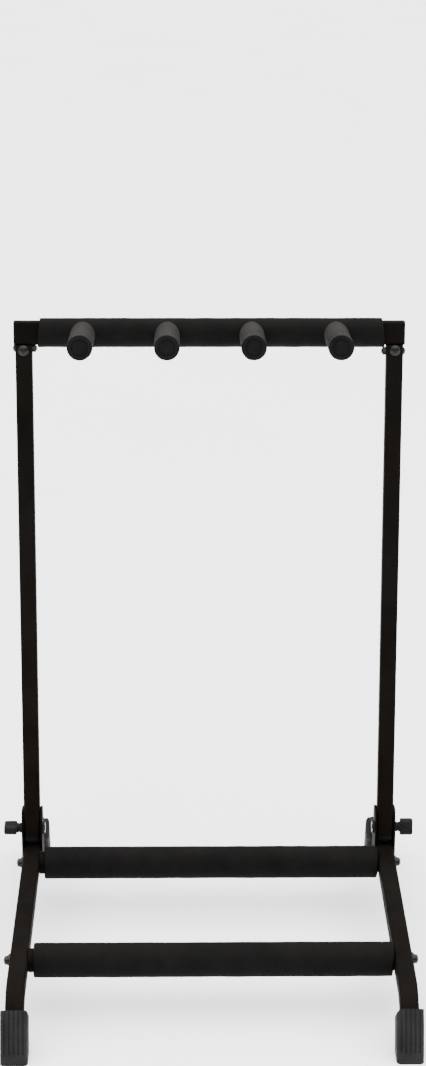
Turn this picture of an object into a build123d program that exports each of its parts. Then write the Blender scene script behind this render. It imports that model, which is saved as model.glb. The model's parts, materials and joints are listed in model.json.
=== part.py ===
from build123d import *
from math import radians, degrees, sin, cos, tan, atan2, sqrt, pi
import os

os.makedirs("parts", exist_ok=True)

# ---------------------------------------------------------------------------
# Folding rack for stringed instruments.  Millimetres, +Z up, +X to the right
# of a person facing the rack, -Y towards that person.  The origin is on the
# floor, under the middle of the rack.
# ---------------------------------------------------------------------------

# driving dimensions
tube = 19.0                # square steel tube of the side rails
tube_r = 2.6               # its outer corner radius
wall = 1.5                 # its wall
post = 18.0                # square steel tube of the uprights, same wall
side_x = 200.0             # centre plane of each side frame
y_shift = 124.5            # knob axis, measured back from the origin

rail_z = 56.0              # side rail axis above the floor
bend_r = 36.5              # centre-line radius of the rail's end bends
bend_deg = 73.0            # turn of each end bend
rail_front = -297.0 + y_shift   # where the front bend begins
rail_back = 48.0 + y_shift      # where the rear bend begins
tube_end_z = 3.5           # height of the rail's cut ends inside the boots

boot_w = 28.0              # rubber boot, outside width
boot_len = 46.5            # rubber boot, length along the tube
boot_ribs = 6
boot_chamfer_left = 1.5    # cut corner on the inner side of the mouth, left boots
boot_chamfer_right = 3.4   # and right boots

pivot_y = y_shift          # knob axis
pivot_z = 84.0
lean = 6.3                 # the uprights lean back by this
upright_low = 8.0          # tube below the knob axis
plug_r = 16.4              # ball end of the plug, about the knob axis, so it turns clear of the rail
upright_top = 554.7        # knob axis to the upright's top end
cheek_t = 2.0              # bracket plate
cheek_gap = 9.6            # centre plane to the cheek's inner face
knob_hole_r = 3.25
stud_r = 3.2

top_h = 25.0               # top cross tube, height
top_d = 15.0               # top cross tube, depth
top_len = 418.4            # top cross tube, length without its end plugs
top_r = 2.5
top_foam_r = 16.0
top_foam_len = 374.0
top_foam_x = 2.0           # the sleeve sits a little to the right
bolt_drop_left = 4.4       # cross bolt below the upright's top, left
bolt_drop_right = 7.5      # and right
screw_drop = 5.8           # front screw below the upright's top

peg_x = (-136.0, -45.3, 45.3, 136.0)
peg_reach = 100.5          # top cross tube's axis to the peg's tip
peg_tube_r = 8.0
peg_foam_r = 13.6

bar_r = 12.5               # lower cross bars
bar_half = 190.45          # half their length, rail to rail
bar_foam_r = 18.2
bar_foam_len = 375.0
bar_foam_x = 2.2
front_bar_y = -244.0 + y_shift
rear_bar_y = -31.3 + y_shift

# ---------------------------------------------------------------------------
# planes: the leaning upper frame has its own plane, X across, local y along
# the uprights (upwards) and local z towards the person in front
# ---------------------------------------------------------------------------
a = radians(lean)
up = Vector(0, sin(a), cos(a))          # along the uprights
fwd = Vector(0, -cos(a), sin(a))        # out of the front face
pivot = Vector(0, pivot_y, pivot_z)


def upper(d=0.0, out=0.0, x=0.0):
    """Point of the upper frame: d along the uprights, out of the front face by out."""
    return pivot + up * d + fwd * out + Vector(x, 0, 0)


def along_upright(d=0.0, out=0.0, x=0.0):
    """Plane square to the uprights, normal up along them, local x to the right."""
    return Plane(origin=upper(d, out, x), x_dir=(1, 0, 0), z_dir=up)


def facing(d=0.0, out=0.0, x=0.0):
    """Plane parallel to the uprights' front face, normal forwards."""
    return Plane(origin=upper(d, out, x), x_dir=(1, 0, 0), z_dir=fwd)


def across(x, y, z, sign=1):
    """Plane with its normal along X."""
    return Plane(origin=(x, y, z), x_dir=(0, sign, 0), z_dir=(sign, 0, 0))


def dome_mid(r, x0, x1):
    """Middle of the arc from (x0, r) to (x1, 0) that meets the axis squarely."""
    h = x1 - x0
    big = (r * r + h * h) / (2 * h)
    half = atan2(r, big - h) / 2
    return (x1 - big + big * cos(half), big * sin(half))


def finish(bp, name):
    bp.part.label = name
    export_step(bp.part, "parts/" + name + ".step")


# ---------------------------------------------------------------------------
# the side rail's centre line, in the YZ plane
# ---------------------------------------------------------------------------
b = radians(bend_deg)


def end_points(y0, s, z_end, extra=0.0):
    """Bend from y0 outwards (s = -1 to the front, +1 to the rear):
    start, middle of the arc, end of the arc, cut end."""
    p0 = Vector(0, y0, rail_z)
    pm = Vector(0, y0 + s * bend_r * sin(b / 2), rail_z - bend_r * (1 - cos(b / 2)))
    p1 = Vector(0, y0 + s * bend_r * sin(b), rail_z - bend_r * (1 - cos(b)))
    run = (p1.Z - z_end) / sin(b)
    p2 = Vector(0, p1.Y + s * run * cos(b), z_end)
    return p0, pm, p1, p2


f0, fm, f1, f2 = end_points(rail_front, -1, tube_end_z)
r0, rm, r1, r2 = end_points(rail_back, +1, tube_end_z)


def side_rail(name, sx):
    o = Vector(sx * side_x, 0, 0)
    with BuildPart() as bp:
        with BuildLine() as path:
            Line(f2 + o, f1 + o)
            ThreePointArc(f1 + o, fm + o, f0 + o)
            Line(f0 + o, r0 + o)
            ThreePointArc(r0 + o, rm + o, r1 + o)
            Line(r1 + o, r2 + o)
        start = Plane(origin=f2 + o, x_dir=(1, 0, 0), z_dir=(f1 - f2).normalized())
        with BuildSketch(start):
            RectangleRounded(tube, tube, tube_r)
            RectangleRounded(tube - 2 * wall, tube - 2 * wall, tube_r - wall, mode=Mode.SUBTRACT)
        sweep(path=path.line)
        # bolt holes for the two cross bars, through both walls
        for y in (front_bar_y, rear_bar_y):
            with BuildSketch(across(sx * side_x - 15, y, rail_z)):
                Circle(3.2)
            extrude(amount=30, mode=Mode.SUBTRACT)
    finish(bp, name)
    return bp


rail_left = side_rail("side_rail_left", -1)
rail_right = side_rail("side_rail_right", +1)


# ---------------------------------------------------------------------------
# rubber boots on the four bent-down ends: ribbed lengthwise, flat on the floor
# ---------------------------------------------------------------------------
def boot(name, sx, front):
    s = -1 if front else +1
    y0 = rail_front if front else rail_back
    p0, pm, p1, p2 = end_points(y0, s, -6.0)
    straight = (p1 - p2).length
    arc_len = boot_len + 6.0 / sin(b) - straight
    turn = arc_len / bend_r                       # radians of the bend inside the boot
    c = Vector(0, y0, rail_z - bend_r)            # centre of the bend
    ang = b - turn
    pt = Vector(0, c.Y + s * bend_r * sin(ang), c.Z + bend_r * cos(ang))
    pmid = Vector(0, c.Y + s * bend_r * sin(b - turn / 2), c.Z + bend_r * cos(b - turn / 2))
    o = Vector(sx * side_x, 0, 0)
    with BuildPart() as bp:
        with BuildLine() as path:
            Line(p2 + o, p1 + o)
            ThreePointArc(p1 + o, pmid + o, pt + o)
        start = Plane(origin=p2 + o, x_dir=(1, 0, 0), z_dir=(p1 - p2).normalized())
        pitch = boot_w / boot_ribs
        with BuildSketch(start):
            RectangleRounded(boot_w, boot_w, 4.5)
            # grooves between the lengthwise ribs, on all four sides
            for k in range(1, boot_ribs):
                q = -boot_w / 2 + k * pitch
                with Locations((q, boot_w / 2), (q, -boot_w / 2)):
                    Rectangle(1.7, 1.8, mode=Mode.SUBTRACT)
                with Locations((boot_w / 2, q), (-boot_w / 2, q)):
                    Rectangle(1.8, 1.7, mode=Mode.SUBTRACT)
        sweep(path=path.line)
        # a smooth band without grooves round the sole
        with BuildSketch(start):
            RectangleRounded(boot_w, boot_w, 4.5)
        extrude(amount=6.0 / sin(b) + 7.5)
        # flat sole
        with BuildSketch(Plane(origin=(sx * side_x, p2.Y, 0), x_dir=(1, 0, 0), z_dir=(0, 0, -1))):
            Rectangle(60, 90)
        extrude(amount=30, mode=Mode.SUBTRACT)
        # socket for the tube, closed by the sole
        q0, qm, q1, q2 = end_points(y0, s, tube_end_z)
        with BuildLine() as hole:
            Line(q2 + o, q1 + o)
            ThreePointArc(q1 + o, pmid + o, pt + o)
        with BuildSketch(Plane(origin=q2 + o, x_dir=(1, 0, 0), z_dir=(q1 - q2).normalized())):
            RectangleRounded(tube, tube, tube_r)
        sweep(path=hole.line, mode=Mode.SUBTRACT)
        # cut corner at the mouth, towards the middle of the rack
        mouth = Vector(0, -s * cos(ang), sin(ang))
        i = -sx
        e = boot_w / 2
        boot_chamfer = boot_chamfer_left if sx < 0 else boot_chamfer_right
        with BuildSketch(Plane(origin=pt + o, x_dir=(1, 0, 0), z_dir=Vector(1, 0, 0).cross(mouth))):
            with BuildLine():
                Polyline((i * e, -boot_chamfer - 0.6), (i * (e - boot_chamfer), 0), (i * (e - boot_chamfer), 5),
                         (i * (e + 5), 5), (i * (e + 5), -boot_chamfer - 0.6), close=True)
            make_face()
        extrude(amount=25, both=True, mode=Mode.SUBTRACT)
    finish(bp, name)
    return bp


boot_fl = boot("front_foot_boot_left", -1, True)
boot_fr = boot("front_foot_boot_right", +1, True)
boot_rl = boot("rear_foot_boot_left", -1, False)
boot_rr = boot("rear_foot_boot_right", +1, False)


# ---------------------------------------------------------------------------
# lower cross bars, with threaded inserts in their ends, and foam sleeves
# ---------------------------------------------------------------------------
def cross_bar(name, y):
    with BuildPart() as bp:
        with BuildSketch(across(-bar_half, y, rail_z)):
            Circle(bar_r)
            Circle(bar_r - wall, mode=Mode.SUBTRACT)
        extrude(amount=2 * bar_half)
    finish(bp, name)
    return bp


def bar_inserts(name, y):
    with BuildPart() as bp:
        for sx in (-1, 1):
            with BuildSketch(across(sx * (bar_half - 0.2), y, rail_z, -sx)):
                Circle(bar_r - wall)
                Circle(3.0, mode=Mode.SUBTRACT)
            extrude(amount=16)
    finish(bp, name)
    return bp


def bar_foam(name, y, holes=0):
    with BuildPart() as bp:
        with BuildSketch(across(bar_foam_x - bar_foam_len / 2, y, rail_z)):
            Circle(bar_foam_r)
            Circle(bar_r + 0.1, mode=Mode.SUBTRACT)
        extrude(amount=bar_foam_len)
        ends = bp.edges().filter_by(GeomType.CIRCLE).filter_by(lambda e: e.radius > 15)
        chamfer(ends, length=0.8)
    finish(bp, name)
    return bp


front_bar = cross_bar("front_cross_bar", front_bar_y)
rear_bar = cross_bar("rear_cross_bar", rear_bar_y)
front_ins = bar_inserts("front_bar_threaded_inserts", front_bar_y)
rear_ins = bar_inserts("rear_bar_threaded_inserts", rear_bar_y)
front_foam = bar_foam("front_bar_foam", front_bar_y)
rear_foam = bar_foam("rear_bar_foam", rear_bar_y)

# four bolts, dome head outside the rails, each into an insert
with BuildPart() as bar_bolts:
    for sx in (-1, 1):
        for y in (front_bar_y, rear_bar_y):
            face = sx * (side_x + tube / 2 + 3.0)
            with BuildSketch(across(face, y, rail_z, -sx)):
                Circle(3.0)
            extrude(amount=3.0 + tube + 14.0)
            with BuildSketch(Plane(origin=(face, y, rail_z), x_dir=(sx, 0, 0), z_dir=(0, -1, 0))):
                with BuildLine():
                    Line((0, 0), (0, 4.7))
                    Line((0, 4.7), (2.2, 4.7))
                    ThreePointArc((2.2, 4.7), dome_mid(4.7, 2.2, 4.2), (4.2, 0))
                    Line((4.2, 0), (0, 0))
                make_face()
            revolve(axis=Axis((face, y, rail_z), (sx, 0, 0)))
            with BuildSketch(across(face + sx * 4.4, y, rail_z, -sx)):
                RegularPolygon(2.1, 6)
            extrude(amount=2.6, mode=Mode.SUBTRACT)
finish(bar_bolts, "cross_bar_bolts")

with BuildPart() as bar_washers:
    for sx in (-1, 1):
        for y in (front_bar_y, rear_bar_y):
            with BuildSketch(across(sx * (side_x + tube / 2), y, rail_z, sx)):
                Circle(7.0)
                Circle(3.05, mode=Mode.SUBTRACT)
            extrude(amount=1.4)
            with BuildSketch(across(sx * (side_x + tube / 2 + 1.4), y, rail_z, sx)):
                Circle(5.4)
                Circle(3.05, mode=Mode.SUBTRACT)
            extrude(amount=1.6)
finish(bar_washers, "cross_bar_washers")


# ---------------------------------------------------------------------------
# pivot brackets: two cheeks welded to the rail, joined by a stop strap behind
# the upright, with the hole for the clamp stud
# ---------------------------------------------------------------------------
def bracket(name, sx):
    cx = sx * side_x
    strap_lo, strap_hi = 14.5, 21.5
    back = post / 2 + 0.05
    with BuildPart() as bp:
        for s in (-1, 1):
            with BuildSketch(across(cx + s * cheek_gap, 0, 0, s)):
                with BuildLine():
                    pts = [(pivot_y - 12.6, 47.5), (pivot_y + 21.0, 47.5),
                           (pivot_y + 21.0, 74.0)]
                    top_b = upper(strap_hi + 1.5, -(back + 2.0))
                    top_f = upper(strap_hi + 1.5, 7.5)
                    pts += [(top_b.Y, top_b.Z), (top_f.Y, top_f.Z), (pivot_y - 12.6, pivot_z - 4.0)]
                    pts = [(s * p[0], p[1]) for p in pts]
                    Polyline(*pts, close=True)
                make_face()
                fillet(vertices().group_by(Axis.Z)[-1], radius=3.5)
            extrude(amount=cheek_t)
            # weld lands: the cheeks meet the rail's sides below the upright
            with BuildSketch(across(cx + s * tube / 2, 0, 0, s)):
                with Locations((s * (pivot_y + 4.2), 55.0)):
                    Rectangle(33.6, 15.0)
            extrude(amount=cheek_gap - tube / 2 + 0.01)
        # strap behind the upright, the stop for its lean
        with BuildSketch(along_upright(strap_lo, 0, cx)):
            with Locations((0, back + 1.0)):
                Rectangle(2 * cheek_gap + 0.02, 2.0)
        extrude(amount=strap_hi - strap_lo)
        with BuildSketch(across(cx - 15, pivot_y, pivot_z)):
            Circle(knob_hole_r)
        extrude(amount=30, mode=Mode.SUBTRACT)
    finish(bp, name)
    return bp


bracket_l = bracket("pivot_bracket_left", -1)
bracket_r = bracket("pivot_bracket_right", +1)


# ---------------------------------------------------------------------------
# uprights with their lower end plugs
# ---------------------------------------------------------------------------
def bolt_d(sx):
    """Knob axis to the cross bolt on that side."""
    return upright_top - (bolt_drop_left if sx < 0 else bolt_drop_right)


def upright(name, sx):
    cx = sx * side_x
    with BuildPart() as bp:
        with BuildSketch(along_upright(-upright_low, 0, cx)):
            RectangleRounded(post, post, tube_r)
            RectangleRounded(post - 2 * wall, post - 2 * wall, tube_r - wall, mode=Mode.SUBTRACT)
        extrude(amount=upright_low + upright_top)
        with BuildSketch(across(cx - 15, pivot_y, pivot_z)):
            Circle(knob_hole_r)
        extrude(amount=30, mode=Mode.SUBTRACT)
        cb = upper(bolt_d(sx))
        with BuildSketch(across(cx - 15, cb.Y, cb.Z)):
            Circle(2.6)
        extrude(amount=30, mode=Mode.SUBTRACT)
        with BuildSketch(facing(upright_top - screw_drop, 12, cx)):
            Circle(1.9)
        extrude(amount=-6, mode=Mode.SUBTRACT)
    finish(bp, name)
    return bp


upright_l = upright("upright_left", -1)
upright_r = upright("upright_right", +1)


def lower_plug(name, sx):
    cx = sx * side_x
    inner = post - 2 * wall
    with BuildPart() as bp:
        with BuildSketch(along_upright(-plug_r - 1, 0, cx)):
            RectangleRounded(post, post, tube_r)
        extrude(amount=plug_r + 1 - upright_low)
        with Locations(upper(0, 0, cx)):
            Sphere(plug_r, mode=Mode.INTERSECT)
        with BuildSketch(along_upright(-upright_low, 0, cx)):
            RectangleRounded(inner - 0.1, inner - 0.1, tube_r - wall)
        extrude(amount=4.0)
    finish(bp, name)
    return bp


plug_l = lower_plug("upright_plug_left", -1)
plug_r = lower_plug("upright_plug_right", +1)


# ---------------------------------------------------------------------------
# clamp knobs: fluted oblong plastic knob on a steel stud; nut on the inner side
# ---------------------------------------------------------------------------
knob_hub_r = 5.6
knob_hub = 6.0
knob_body = 14.0
cheek_out = cheek_gap + cheek_t


def knob(name, sx, turn):
    cx = sx * side_x
    x0 = cx + sx * (cheek_out + 0.1)
    w, h = 19.0, 10.6
    with BuildPart() as bp:
        with BuildSketch(across(x0, pivot_y, pivot_z, sx)):
            Circle(knob_hub_r)
        extrude(amount=knob_hub)
        # groove round the hub
        with BuildSketch(across(x0 + sx * 2.6, pivot_y, pivot_z, sx)):
            Circle(knob_hub_r)
            Circle(knob_hub_r - 0.7, mode=Mode.SUBTRACT)
        extrude(amount=1.2, mode=Mode.SUBTRACT)
        t = radians(turn)
        pl = Plane(origin=(x0 + sx * knob_hub, pivot_y, pivot_z), x_dir=(0, cos(t), sin(t)), z_dir=(sx, 0, 0))
        with BuildSketch(pl):
            RectangleRounded(w, h, 4.6)
        extrude(amount=knob_body)
        far = bp.faces().filter_by(Axis.X).sort_by(Axis.X)[-1 if sx > 0 else 0]
        chamfer(far.outer_wire().edges(), length=1.2)
        # flutes
        with BuildSketch(pl):
            with Locations(*[(k * 2.7, t * (h / 2 + 0.25)) for k in (-1.5, -0.5, 0.5, 1.5) for t in (-1, 1)]):
                Circle(0.8)
            with Locations(*[(t * (w / 2 + 0.25), k * 2.7) for k in (-0.5, 0.5) for t in (-1, 1)]):
                Circle(0.8)
        extrude(amount=knob_body, mode=Mode.SUBTRACT)
        with BuildSketch(across(x0, pivot_y, pivot_z, -sx)):
            Circle(stud_r + 1.0)
        extrude(amount=-8.0, mode=Mode.SUBTRACT)
    finish(bp, name)
    return bp


def stud(name, sx):
    cx = sx * side_x
    x0 = cx + sx * (cheek_out + 0.1)
    with BuildPart() as bp:
        with BuildSketch(across(x0, pivot_y, pivot_z, sx)):
            Circle(stud_r + 1.0)
        extrude(amount=8.0)
        with BuildSketch(across(x0, pivot_y, pivot_z, -sx)):
            Circle(stud_r)
        extrude(amount=2 * cheek_out + 3.3)
    finish(bp, name)
    return bp


knob_l = knob("clamp_knob_left", -1, 4.0)
knob_r = knob("clamp_knob_right", +1, 82.0)
stud_l = stud("clamp_stud_left", -1)
stud_rt = stud("clamp_stud_right", +1)

with BuildPart() as clamp_nuts:
    for sx in (-1, 1):
        x0 = sx * (side_x - cheek_out)
        with BuildSketch(across(x0, pivot_y, pivot_z, -sx)):
            RegularPolygon(6.9, 6)
            Circle(stud_r + 0.05, mode=Mode.SUBTRACT)
        extrude(amount=2.8)
finish(clamp_nuts, "clamp_nuts")


# ---------------------------------------------------------------------------
# top cross tube, its end plugs, and the stubs that drop into the uprights
# ---------------------------------------------------------------------------
top_d0 = upright_top + top_h / 2       # knob axis to the top cross tube's axis
axis_pt = upper(top_d0)


def cross_plane(x, sign=1):
    """Plane square to the top cross tube: local x forwards, local y up the frame."""
    pl = Plane(origin=upper(top_d0, 0, x), x_dir=fwd * -1 * sign, z_dir=(sign, 0, 0))
    return pl


with BuildPart() as top_tube:
    with BuildSketch(cross_plane(-top_len / 2)):
        RectangleRounded(top_d, top_h, top_r)
        RectangleRounded(top_d - 2 * wall, top_h - 2 * wall, top_r - wall, mode=Mode.SUBTRACT)
    extrude(amount=top_len)
finish(top_tube, "top_cross_tube")

with BuildPart() as top_plugs:
    for sx in (-1, 1):
        with BuildSketch(cross_plane(sx * top_len / 2, sx)):
            RectangleRounded(top_d, top_h, top_r)
        extrude(amount=1.5)
        with BuildSketch(cross_plane(sx * top_len / 2, -sx)):
            RectangleRounded(top_d - 2 * wall - 0.1, top_h - 2 * wall - 0.1, top_r - wall)
        extrude(amount=9.0)
finish(top_plugs, "top_tube_end_plugs")


def stub(name, sx):
    cx = sx * side_x
    inner = post - 2 * wall
    with BuildPart() as bp:
        with BuildSketch(along_upright(upright_top, 0, cx)):
            RectangleRounded(inner - 0.2, 12.8, 1.0)
            RectangleRounded(inner - 4.2, 8.8, 0.8, mode=Mode.SUBTRACT)
        extrude(amount=-26.0)
        cb = upper(bolt_d(sx))
        with BuildSketch(across(cx - 15, cb.Y, cb.Z)):
            Circle(2.6)
        extrude(amount=30, mode=Mode.SUBTRACT)
        with BuildSketch(facing(upright_top - screw_drop, 9, cx)):
            Circle(1.9)
        extrude(amount=-6, mode=Mode.SUBTRACT)
    finish(bp, name)
    return bp


stub_l = stub("top_tube_stub_left", -1)
stub_r = stub("top_tube_stub_right", +1)

# cross bolts through the uprights' tops: dome head outside, nut inside
with BuildPart() as cross_bolts:
    for sx in (-1, 1):
        cb = upper(bolt_d(sx))
        face = sx * (side_x + post / 2)
        with BuildSketch(across(face, cb.Y, cb.Z, -sx)):
            Circle(2.5)
        extrude(amount=post + 5.2)
        with BuildSketch(Plane(origin=(face, cb.Y, cb.Z), x_dir=(sx, 0, 0), z_dir=(0, -1, 0))):
            with BuildLine():
                Line((0, 0), (0, 4.3))
                Line((0, 4.3), (0.7, 4.3))
                ThreePointArc((0.7, 4.3), dome_mid(4.3, 0.7, 3.1), (3.1, 0))
                Line((3.1, 0), (0, 0))
            make_face()
        revolve(axis=Axis((face, cb.Y, cb.Z), (sx, 0, 0)))
finish(cross_bolts, "top_cross_bolts")

with BuildPart() as cross_nuts:
    for sx in (-1, 1):
        cb = upper(bolt_d(sx))
        with BuildSketch(across(sx * (side_x - post / 2), cb.Y, cb.Z, -sx)):
            RegularPolygon(4.4, 6)
            Circle(2.55, mode=Mode.SUBTRACT)
        extrude(amount=4.0)
finish(cross_nuts, "top_cross_nuts")

# short domed screws that lock the stubs, at the front of the uprights
with BuildPart() as front_screws:
    for sx in (-1, 1):
        c = upper(upright_top - screw_drop, post / 2, sx * side_x)
        with BuildSketch(Plane(origin=c, x_dir=fwd, z_dir=(1, 0, 0))):
            with BuildLine():
                Line((0, 0), (0, 5.8))
                Line((0, 5.8), (0.7, 5.8))
                ThreePointArc((0.7, 5.8), dome_mid(5.8, 0.7, 2.9), (2.9, 0))
                Line((2.9, 0), (0, 0))
            make_face()
        revolve(axis=Axis(c, fwd))
        with BuildSketch(Plane(origin=c, x_dir=(1, 0, 0), z_dir=fwd)):
            Circle(1.85)
        extrude(amount=-5.0)
        with BuildSketch(Plane(origin=c + fwd * 3.0, x_dir=(1, 0, 0), z_dir=fwd)):
            Rectangle(4.4, 1.0)
            Rectangle(1.0, 4.4)
        extrude(amount=-1.6, mode=Mode.SUBTRACT)
finish(front_screws, "upright_front_screws")

# ---------------------------------------------------------------------------
# foam sleeve of the top bar, and the pegs with their foam and end caps
# ---------------------------------------------------------------------------
with BuildPart() as top_foam:
    with BuildSketch(cross_plane(top_foam_x - top_foam_len / 2)):
        Circle(top_foam_r)
        RectangleRounded(top_d + 0.2, top_h + 0.2, top_r + 0.1, mode=Mode.SUBTRACT)
    extrude(amount=top_foam_len)
    for px in peg_x:
        with BuildSketch(facing(top_d0, 0, px)):
            Circle(peg_tube_r + 0.1)
        extrude(amount=top_foam_r + 4, mode=Mode.SUBTRACT)
finish(top_foam, "top_bar_foam")

for i, px in enumerate(peg_x):
    n = str(i + 1)
    with BuildPart() as peg:
        with BuildSketch(facing(top_d0, top_d / 2, px)):
            Circle(peg_tube_r)
            Circle(peg_tube_r - wall, mode=Mode.SUBTRACT)
        extrude(amount=peg_reach - top_d / 2 - 1.6)
    finish(peg, "peg_tube_" + n)

    with BuildPart() as pf:
        with BuildSketch(facing(top_d0, 5.0, px)):
            Circle(peg_foam_r)
            Circle(peg_tube_r + 0.1, mode=Mode.SUBTRACT)
        extrude(amount=peg_reach - 5.0)
        # saddle cut where it meets the long sleeve
        with BuildSketch(cross_plane(px - 30)):
            Circle(top_foam_r + 0.1)
        extrude(amount=60, mode=Mode.SUBTRACT)
        tip = pf.faces().sort_by(Axis.Y)[0]
        chamfer(tip.outer_wire().edges(), length=0.8)
    finish(pf, "peg_foam_" + n)

    with BuildPart() as pc:
        with BuildSketch(facing(top_d0, peg_reach - 1.6, px)):
            Circle(peg_tube_r)
        extrude(amount=1.4)
        with BuildSketch(facing(top_d0, peg_reach - 1.6, px)):
            Circle(peg_tube_r - wall - 0.05)
        extrude(amount=-9.0)
        with BuildSketch(facing(top_d0, peg_reach - 0.2, px)):
            Circle(peg_tube_r)
            Circle(peg_tube_r - 0.9, mode=Mode.SUBTRACT)
        extrude(amount=0.5)
    finish(pc, "peg_cap_" + n)
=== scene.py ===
import json
from math import radians, sin, cos, pi, sqrt
import bpy
import bmesh
from mathutils import Vector, Matrix, noise


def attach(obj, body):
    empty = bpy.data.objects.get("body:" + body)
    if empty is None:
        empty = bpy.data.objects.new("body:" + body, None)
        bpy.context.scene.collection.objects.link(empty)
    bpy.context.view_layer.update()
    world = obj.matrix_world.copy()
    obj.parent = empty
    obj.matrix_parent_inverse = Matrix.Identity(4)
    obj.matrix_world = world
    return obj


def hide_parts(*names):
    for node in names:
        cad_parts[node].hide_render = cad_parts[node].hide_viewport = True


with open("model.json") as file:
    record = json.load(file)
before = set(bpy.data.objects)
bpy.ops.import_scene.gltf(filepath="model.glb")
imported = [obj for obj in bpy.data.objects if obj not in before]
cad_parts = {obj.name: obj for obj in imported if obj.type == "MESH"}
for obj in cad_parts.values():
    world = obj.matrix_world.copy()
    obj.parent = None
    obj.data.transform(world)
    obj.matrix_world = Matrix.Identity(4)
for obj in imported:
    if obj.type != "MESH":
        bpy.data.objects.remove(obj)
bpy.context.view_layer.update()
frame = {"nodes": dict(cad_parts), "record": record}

scene = bpy.context.scene
record = frame["record"]
nodes = frame["nodes"]
MM = 0.001

# ---------------------------------------------------------------- dimensions
PIVOT = Vector((0.0, 0.1245, 0.084))
LEAN = radians(6.3)
UP = Vector((0.0, sin(LEAN), cos(LEAN)))        # along the uprights
FWD = Vector((0.0, -cos(LEAN), sin(LEAN)))      # out of their front face
TOP_D = 0.5547 + 0.0125                         # knob axis to the top tube's axis
PEG_X = (-0.136, -0.0453, 0.0453, 0.136)
PEG_REACH = 0.1005


# ---------------------------------------------------------------- materials
def new_material(name):
    m = bpy.data.materials.new(name)
    m.use_nodes = True
    nt = m.node_tree
    nt.nodes.clear()
    out = nt.nodes.new("ShaderNodeOutputMaterial")
    bsdf = nt.nodes.new("ShaderNodeBsdfPrincipled")
    nt.links.new(bsdf.outputs["BSDF"], out.inputs["Surface"])
    tc = nt.nodes.new("ShaderNodeTexCoord")
    return m, nt, bsdf, tc.outputs["Object"]


def noise_tex(nt, vec, scale, detail=3.0, rough=0.55, distortion=0.0):
    n = nt.nodes.new("ShaderNodeTexNoise")
    n.inputs["Scale"].default_value = scale
    n.inputs["Detail"].default_value = detail
    n.inputs["Roughness"].default_value = rough
    n.inputs["Distortion"].default_value = distortion
    nt.links.new(vec, n.inputs["Vector"])
    return n.outputs["Fac"]


def ramp(nt, fac, stops):
    r = nt.nodes.new("ShaderNodeValToRGB")
    cr = r.color_ramp
    while len(cr.elements) < len(stops):
        cr.elements.new(0.5)
    for e, (p, c) in zip(cr.elements, stops):
        e.position = p
        e.color = (*c, 1.0)
    nt.links.new(fac, r.inputs["Fac"])
    return r.outputs["Color"]


def map_range(nt, fac, lo, hi, f0=0.3, f1=0.7):
    r = nt.nodes.new("ShaderNodeMapRange")
    r.inputs["From Min"].default_value = f0
    r.inputs["From Max"].default_value = f1
    r.inputs["To Min"].default_value = lo
    r.inputs["To Max"].default_value = hi
    nt.links.new(fac, r.inputs["Value"])
    return r.outputs["Result"]


def math_node(nt, op, a, b):
    n = nt.nodes.new("ShaderNodeMath")
    n.operation = op
    for i, v in enumerate((a, b)):
        if isinstance(v, (int, float)):
            n.inputs[i].default_value = v
        else:
            nt.links.new(v, n.inputs[i])
    return n.outputs["Value"]


def bump(nt, height, strength, distance, normal=None):
    b = nt.nodes.new("ShaderNodeBump")
    b.inputs["Strength"].default_value = strength
    b.inputs["Distance"].default_value = distance
    nt.links.new(height, b.inputs["Height"])
    if normal is not None:
        nt.links.new(normal, b.inputs["Normal"])
    return b.outputs["Normal"]


def painted_steel():
    m, nt, p, v = new_material("black_powder_coat")
    tone = noise_tex(nt, v, 22, 4)
    nt.links.new(ramp(nt, tone, [(0.3, (0.0022, 0.0016, 0.0012)), (0.7, (0.0042, 0.0033, 0.0026))]), p.inputs["Base Color"])
    nt.links.new(map_range(nt, noise_tex(nt, v, 70, 4), 0.60, 0.72), p.inputs["Roughness"])
    peel = noise_tex(nt, v, 900, 2)
    fine = noise_tex(nt, v, 3200, 2)
    n1 = bump(nt, peel, 0.22, 0.00010)
    nt.links.new(bump(nt, fine, 0.10, 0.00004, n1), p.inputs["Normal"])
    p.inputs["Specular IOR Level"].default_value = 0.02
    return m


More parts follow.
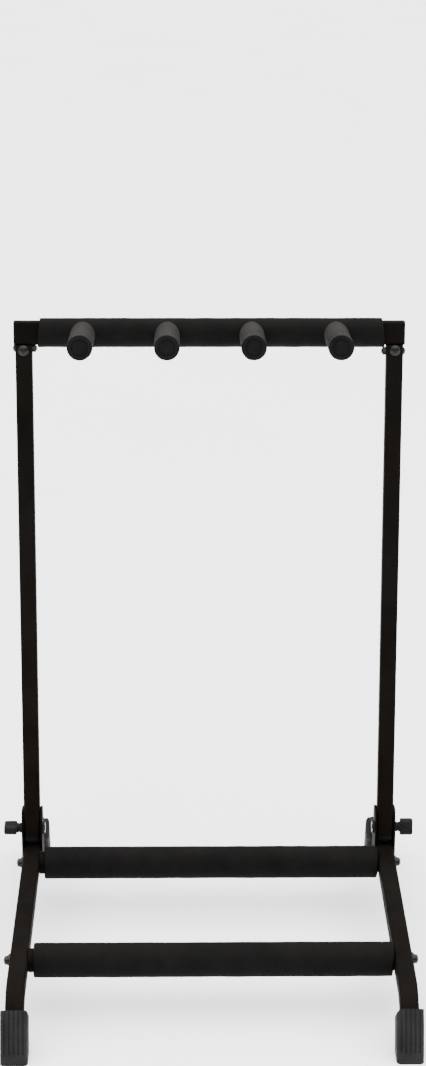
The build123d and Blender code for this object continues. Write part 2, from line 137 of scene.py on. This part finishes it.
def foam(name, along, cut=False, gain=1.0):
    """Closed-cell foam sleeve; along is the sleeve's axis, 0 for X or 1 for Y."""
    m, nt, p, v = new_material(name)
    tone = noise_tex(nt, v, 35, 5, 0.6)
    cells = nt.nodes.new("ShaderNodeTexVoronoi")
    cells.inputs["Scale"].default_value = 900 if cut else 1500
    nt.links.new(v, cells.inputs["Vector"])
    rings = nt.nodes.new("ShaderNodeTexWave")
    rings.wave_type = "BANDS"
    rings.bands_direction = "X" if along == 0 else "Y"
    rings.inputs["Scale"].default_value = 190
    rings.inputs["Distortion"].default_value = 2.2
    rings.inputs["Detail"].default_value = 3.0
    rings.inputs["Detail Scale"].default_value = 2.0
    nt.links.new(v, rings.inputs["Vector"])
    grain = noise_tex(nt, v, 1300, 3, 0.7)
    mixed = math_node(nt, "ADD", math_node(nt, "MULTIPLY", tone, 0.65), math_node(nt, "MULTIPLY", grain, 0.35))
    if cut:
        stops = [(0.3, (0.005, 0.0047, 0.0045)), (0.7, (0.011, 0.0105, 0.010))]
    else:
        stops = [(0.3, (0.0056, 0.0052, 0.0050)), (0.7, (0.0110, 0.0104, 0.0100))]
    # gain scales the whole foam colour; the peg copy's high gain paints light onto the pegs, since it is the same foam
    stops = [(q, tuple(gain * k for k in col)) for q, col in stops]
    nt.links.new(ramp(nt, mixed, stops), p.inputs["Base Color"])
    nt.links.new(map_range(nt, grain, 0.58, 0.74), p.inputs["Roughness"])
    n1 = bump(nt, rings.outputs["Fac"], 0.0 if cut else 0.22, 0.00022)
    n2 = bump(nt, cells.outputs["Distance"], 0.6 if cut else 0.30, 0.00025, n1)
    nt.links.new(bump(nt, grain, 0.25, 0.00015, n2), p.inputs["Normal"])
    p.inputs["Specular IOR Level"].default_value = 0.02
    p.inputs["Sheen Weight"].default_value = 0.0
    p.inputs["Sheen Roughness"].default_value = 0.5
    return m


def rubber():
    m, nt, p, v = new_material("boot_rubber")
    nt.links.new(ramp(nt, noise_tex(nt, v, 45, 4), [(0.3, (0.0074, 0.0073, 0.0074)), (0.7, (0.0132, 0.0130, 0.0132))]), p.inputs["Base Color"])
    nt.links.new(map_range(nt, noise_tex(nt, v, 120, 4), 0.46, 0.62), p.inputs["Roughness"])
    nt.links.new(bump(nt, noise_tex(nt, v, 1800, 3), 0.25, 0.00010), p.inputs["Normal"])
    p.inputs["Specular IOR Level"].default_value = 0.06
    return m


def moulded(name, lo, hi, r0, r1, strength):
    m, nt, p, v = new_material(name)
    nt.links.new(ramp(nt, noise_tex(nt, v, 80, 3), [(0.3, lo), (0.7, hi)]), p.inputs["Base Color"])
    nt.links.new(map_range(nt, noise_tex(nt, v, 250, 3), r0, r1), p.inputs["Roughness"])
    nt.links.new(bump(nt, noise_tex(nt, v, 2200, 2), strength, 0.00006), p.inputs["Normal"])
    p.inputs["Specular IOR Level"].default_value = 0.05
    return m


def hardware():
    m, nt, p, v = new_material("black_hardware")
    nt.links.new(ramp(nt, noise_tex(nt, v, 160, 4), [(0.3, (0.0030, 0.0027, 0.0026)), (0.7, (0.0065, 0.0060, 0.0058))]), p.inputs["Base Color"])
    nt.links.new(map_range(nt, noise_tex(nt, v, 500, 4), 0.20, 0.30), p.inputs["Roughness"])
    nt.links.new(bump(nt, noise_tex(nt, v, 2600, 2), 0.15, 0.00005), p.inputs["Normal"])
    p.inputs["Specular IOR Level"].default_value = 0.16
    return m


MATS = {
    "black_steel": painted_steel(),
    # bar foam at gain 0.5; the peg copy below is the same foam at gain 2.0, and the gap between the two is painted
    # light
    "foam": foam("foam_bar", 0, gain=0.5),
    "boot_rubber": rubber(),
    "knob_plastic": moulded("knob_plastic", (0.0048, 0.0046, 0.0046), (0.0088, 0.0085, 0.0085), 0.45, 0.60, 0.2),
    "plug_plastic": moulded("plug_plastic", (0.0022, 0.0021, 0.0021), (0.0042, 0.0040, 0.0039), 0.34, 0.46, 0.1),
    "black_hardware": hardware(),
    "insert_plastic": moulded("insert_plastic", (0.03, 0.03, 0.03), (0.05, 0.05, 0.05), 0.45, 0.6, 0.2),
}
# same foam as the bars at four times the albedo: painted light, giving the lighter lit look of the peg sleeves
FOAM_PEG_PAINTED_LIGHT = foam("foam_peg_painted_light", 1, gain=2.0)
FOAM_CUT = foam("foam_cut_end", 0, cut=True, gain=0.7)

for sp in record["subparts"]:
    o = nodes[sp["node"]]
    mat = MATS[sp["material_slot"]]
    if not o.material_slots:
        o.data.materials.append(mat)
    for s in o.material_slots:
        s.material = mat


# ---------------------------------------------------------------- foam sleeves
def add_rings(name, rings, mats, cut_rings):
    """Closed skin through a loop of rings, each a list of points in metres."""
    bm = bmesh.new()
    vs = [[bm.verts.new(p) for p in r] for r in rings]
    n = len(rings)
    k = len(rings[0])
    for i in range(n):
        a, b = vs[i], vs[(i + 1) % n]
        for j in range(k):
            f = bm.faces.new((a[j], a[(j + 1) % k], b[(j + 1) % k], b[j]))
            f.smooth = True
            f.material_index = 1 if i in cut_rings else 0
    bmesh.ops.recalc_face_normals(bm, faces=bm.faces)
    me = bpy.data.meshes.new(name)
    bm.to_mesh(me)
    bm.free()
    for m in mats:
        me.materials.append(m)
    o = bpy.data.objects.new(name, me)
    scene.collection.objects.link(o)
    return o


def lumps(x, ang, seed):
    """How far the skin sinks below its full radius, 0 to 1."""
    q = Vector((x * 55.0, cos(ang) * 1.4 + seed, sin(ang) * 1.4))
    fine = Vector((x * 420.0, cos(ang) * 7.0 + seed, sin(ang) * 7.0))
    return min(1.0, max(0.0, 0.5 + 0.62 * noise.noise(q) + 0.22 * noise.noise(fine)))


def rounded_rect(w, h, r, ang):
    """Distance from the centre to a rounded rectangle's edge, at an angle."""
    c, s = abs(cos(ang)), abs(sin(ang))
    hw, hh = w / 2, h / 2
    t = min(hw / c if c > 1e-9 else 1e9, hh / s if s > 1e-9 else 1e9)
    x, y = c * t, s * t
    if x > hw - r and y > hh - r:
        cx, cy = hw - r, hh - r
        bq = c * cx + s * cy
        t = bq + sqrt(max(0.0, bq * bq - (cx * cx + cy * cy - r * r)))
    return t


def sleeve(name, centre, e1, e2, x0, x1, radius, bore, seed, skew=(0.7, 0.9), nick=None, slant=None):
    """Foam sleeve along X. e1, e2 span its section; bore(angle) is the hole's radius."""
    around, pitch = 84, 0.0022
    steps = int((x1 - x0) / pitch)
    rings, cut = [], set()

    def place(x, r, ang):
        return centre + Vector((x, 0, 0)) + e1 * (r * cos(ang)) + e2 * (r * sin(ang))

    def ends(ang, side):
        amp = skew[side] * MM
        wob = noise.noise(Vector((cos(ang) * 3.1 + seed, sin(ang) * 3.1, 9.0 + side))) * 0.25 * MM
        d = amp * 0.5 * (1 + sin(ang + (1.1 + 2.0 * side if slant is None else 0.0))) + abs(wob)
        if nick and side == nick[0]:
            da = (ang - nick[1] + pi) % (2 * pi) - pi
            d += nick[2] * MM * max(0.0, 1 - (da / 0.30) ** 2)
        return d

    angs = [2 * pi * j / around for j in range(around)]
    lo = [x0 + ends(t, 0) for t in angs]
    hi = [x1 - ends(t, 1) for t in angs]
    # skin
    for i in range(steps + 1):
        f = i / steps
        ring = []
        for t, l, h in zip(angs, lo, hi):
            inset = 1.0 * MM
            x = (l + inset) + (h - l - 2 * inset) * f
            ring.append(place(x, radius - (0.05 + 0.38 * lumps(x, t, seed)) * MM, t))
        rings.append(ring)
    # rounded shoulder, cut face and bore, then the same back at the other end
    for back, drop in ((0.55, 0.5), (0.12, 1.0), (0.0, 1.5)):
        rings.append([place(h - back * MM, radius - drop * MM, t) for t, h in zip(angs, hi)])
    base = len(rings)
    for w in (0.75, 0.45, 0.18):
        rings.append([place(h, bore(t) + (radius - 1.5 * MM - bore(t)) * w, t) for t, h in zip(angs, hi)])
    rings.append([place(h - 0.5 * MM, bore(t), t) for t, h in zip(angs, hi)])
    rings.append([place(l + 0.5 * MM, bore(t), t) for t, l in zip(angs, lo)])
    for w in (0.18, 0.45, 0.75):
        rings.append([place(l, bore(t) + (radius - 1.5 * MM - bore(t)) * w, t) for t, l in zip(angs, lo)])
    rings.append([place(l, radius - 1.5 * MM, t) for t, l in zip(angs, lo)])
    rings.append([place(l + 0.12 * MM, radius - 1.0 * MM, t) for t, l in zip(angs, lo)])
    rings.append([place(l + 0.55 * MM, radius - 0.5 * MM, t) for t, l in zip(angs, lo)])
    total = len(rings)
    bore_pair = base + 3
    cut = {i for i in range(base - 2, total - 2) if i != bore_pair}
    return add_rings(name, rings, [MATS["foam"], FOAM_CUT], cut)


def peg_sleeve(name, px, seed):
    """Foam on a peg: saddle cut at the root, flat cut at the tip."""
    around = 72
    centre = PIVOT + UP * TOP_D + Vector((px, 0, 0))
    r_out, r_in, saddle = 13.6 * MM, 8.12 * MM, 16.15 * MM
    tip = PEG_REACH
    side = Vector((1, 0, 0))

    def place(d, r, t):
        return centre + FWD * d + side * (r * cos(t)) + UP * (r * sin(t))

    def root(r, t):
        return sqrt(saddle * saddle - (r * sin(t)) ** 2)

    angs = [2 * pi * j / around for j in range(around)]
    rings = []
    steps = 40
    for i in range(steps + 1):
        f = i / steps
        ring = []
        for t in angs:
            d0 = root(r_out, t) + 0.2 * MM
            d = d0 + (tip - 1.0 * MM - d0) * f
            sink = (0.05 + 0.34 * lumps(d + px, t, seed)) * MM
            ring.append(place(d, r_out - sink, t))
        rings.append(ring)
    first_cut = len(rings)
    rings.append([place(tip - 0.35 * MM, r_out - 0.45 * MM, t) for t in angs])
    rings.append([place(tip - 0.05 * MM, r_out - 1.0 * MM, t) for t in angs])
    for w in (0.7, 0.35):
        rings.append([place(tip - (0.03 + 0.05 * noise.noise(Vector((cos(t) * 5 + seed, sin(t) * 5, w)))) * MM, r_in + (r_out - 1.0 * MM - r_in) * w, t) for t in angs])
    rings.append([place(tip - 0.25 * MM, r_in, t) for t in angs])
    last_cut = len(rings) - 1
    rings.append([place(root(r_in, t), r_in, t) for t in angs])
    cut = set(range(first_cut, last_cut))
    # the peg skin takes the lighter foam copy, whose extra brightness is painted light
    return add_rings(name, rings, [FOAM_PEG_PAINTED_LIGHT, FOAM_CUT], cut)


def cut_holes(obj, cutters):
    """Cuts the peg tubes' holes through a sleeve and keeps the result as its mesh."""
    for c in cutters:
        mod = obj.modifiers.new("hole", "BOOLEAN")
        mod.operation = "DIFFERENCE"
        mod.solver = "EXACT"
        mod.object = c
    dg = bpy.context.evaluated_depsgraph_get()
    me = bpy.data.meshes.new_from_object(obj.evaluated_get(dg))
    obj.modifiers.clear()
    old = obj.data
    obj.data = me
    bpy.data.meshes.remove(old)
    for c in cutters:
        m = c.data
        bpy.data.objects.remove(c)
        bpy.data.meshes.remove(m)


Y1, Z1 = Vector((0, -1, 0)), Vector((0, 0, 1))
front = Vector((0.0, -0.244 + 0.1245, 0.056))
rear = Vector((0.0, -0.0313 + 0.1245, 0.056))
round_bore = lambda t: 12.62 * MM
bar0, bar1 = (2.2 - 187.5) * MM, (2.2 + 187.5) * MM

front_foam = sleeve("front_bar_foam_sleeve", front, Y1, Z1, bar0, bar1, 18.2 * MM, round_bore, 3.0)
rear_foam = sleeve("rear_bar_foam_sleeve", rear, Y1, Z1, bar0, bar1, 18.2 * MM, round_bore, 11.0, skew=(0.9, 0.6))
top_axis = PIVOT + UP * TOP_D
top_foam = sleeve("top_bar_foam_sleeve", top_axis, FWD, UP, (2.0 - 187.0) * MM, (2.0 + 187.0) * MM, 16.0 * MM,
                  lambda t: rounded_rect(15.24 * MM, 25.24 * MM, 2.6 * MM, t), 27.0, skew=(2.4, 2.6), nick=(1, 1.25, 1.0), slant=True)
cutters = []
for px in PEG_X:
    bm = bmesh.new()
    rot = FWD.to_track_quat("Z", "Y").to_matrix().to_4x4()
    bmesh.ops.create_cone(bm, cap_ends=True, segments=64, radius1=8.12 * MM, radius2=8.12 * MM, depth=0.024,
                          matrix=Matrix.Translation(top_axis + Vector((px, 0, 0)) + FWD * 0.0125) @ rot)
    me = bpy.data.meshes.new("hole_cutter")
    bm.to_mesh(me)
    bm.free()
    c = bpy.data.objects.new("hole_cutter", me)
    scene.collection.objects.link(c)
    cutters.append(c)
cut_holes(top_foam, cutters)

for obj, body, node in ((front_foam, "base", "front_bar_foam"), (rear_foam, "base", "rear_bar_foam"), (top_foam, "upper_frame", "top_bar_foam")):
    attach(obj, body)
    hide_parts(node)
for i, px in enumerate(PEG_X):
    o = peg_sleeve("peg_foam_sleeve_%d" % (i + 1), px, 41.0 + 7 * i)
    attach(o, "upper_frame")
    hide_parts("peg_foam_%d" % (i + 1))


# ---------------------------------------------------------------- stage, light, camera
bm = bmesh.new()
bmesh.ops.create_grid(bm, x_segments=1, y_segments=1, size=30.0)
me = bpy.data.meshes.new("floor")
bm.to_mesh(me)
bm.free()
floor = bpy.data.objects.new("floor", me)
scene.collection.objects.link(floor)
floor.location = (0, 0, -0.0002)
fm, nt, p, v = new_material("floor_pale")
nt.links.new(ramp(nt, noise_tex(nt, v, 3.0, 2), [(0.3, (0.93, 0.93, 0.93)), (0.7, (0.96, 0.96, 0.96))]), p.inputs["Base Color"])
p.inputs["Roughness"].default_value = 0.8
me.materials.append(fm)

world = bpy.data.worlds.new("studio")
scene.world = world
world.use_nodes = True
wt = world.node_tree
bg = wt.nodes["Background"]
bg.inputs["Strength"].default_value = 6.2
wtc = wt.nodes.new("ShaderNodeTexCoord")
sep = wt.nodes.new("ShaderNodeSeparateXYZ")
wt.links.new(wtc.outputs["Generated"], sep.inputs["Vector"])
wt.links.new(ramp(wt, map_range(wt, sep.outputs["Z"], 0.0, 1.0, -0.1, 1.0),
                  [(0.0, (0.10, 0.10, 0.10)), (0.50, (0.12, 0.12, 0.12)), (0.78, (1.0, 1.0, 1.0))]), bg.inputs["Color"])


def area(name, loc, target, w, h, energy):
    d = bpy.data.lights.new(name, "AREA")
    d.shape = "RECTANGLE"
    d.size, d.size_y = w, h
    d.energy = energy
    o = bpy.data.objects.new(name, d)
    scene.collection.objects.link(o)
    o.location = loc
    o.rotation_euler = (Vector(target) - Vector(loc)).to_track_quat("-Z", "Y").to_euler()
    return o


area("key_overhead", (0.1, 0.2, 2.6), (0, 0, 0.3), 3.4, 3.0, 20)
area("fill_left", (-2.4, -0.6, 1.6), (0, 0, 0.35), 1.2, 1.6, 12)
area("fill_right", (2.4, -0.6, 1.6), (0, 0, 0.35), 1.2, 1.6, 16)

cam_data = bpy.data.cameras.new("camera")
cam = bpy.data.objects.new("camera", cam_data)
scene.collection.objects.link(cam)
cam_data.sensor_fit = "VERTICAL"
cam_data.sensor_height = 36.0
cam_data.lens = 36.0 * 2360.04 / 1066.0
cam_data.clip_start = 0.05
cam_data.clip_end = 100.0
cam.matrix_world = (Matrix.Translation((-0.0307, -2.2747, 1.3283))
                    @ Matrix.Rotation(radians(-0.8237), 4, "Z")
                    @ Matrix.Rotation(radians(90.0 - 20.3096), 4, "X")
                    @ Matrix.Rotation(radians(0.2027), 4, "Z"))
scene.camera = cam
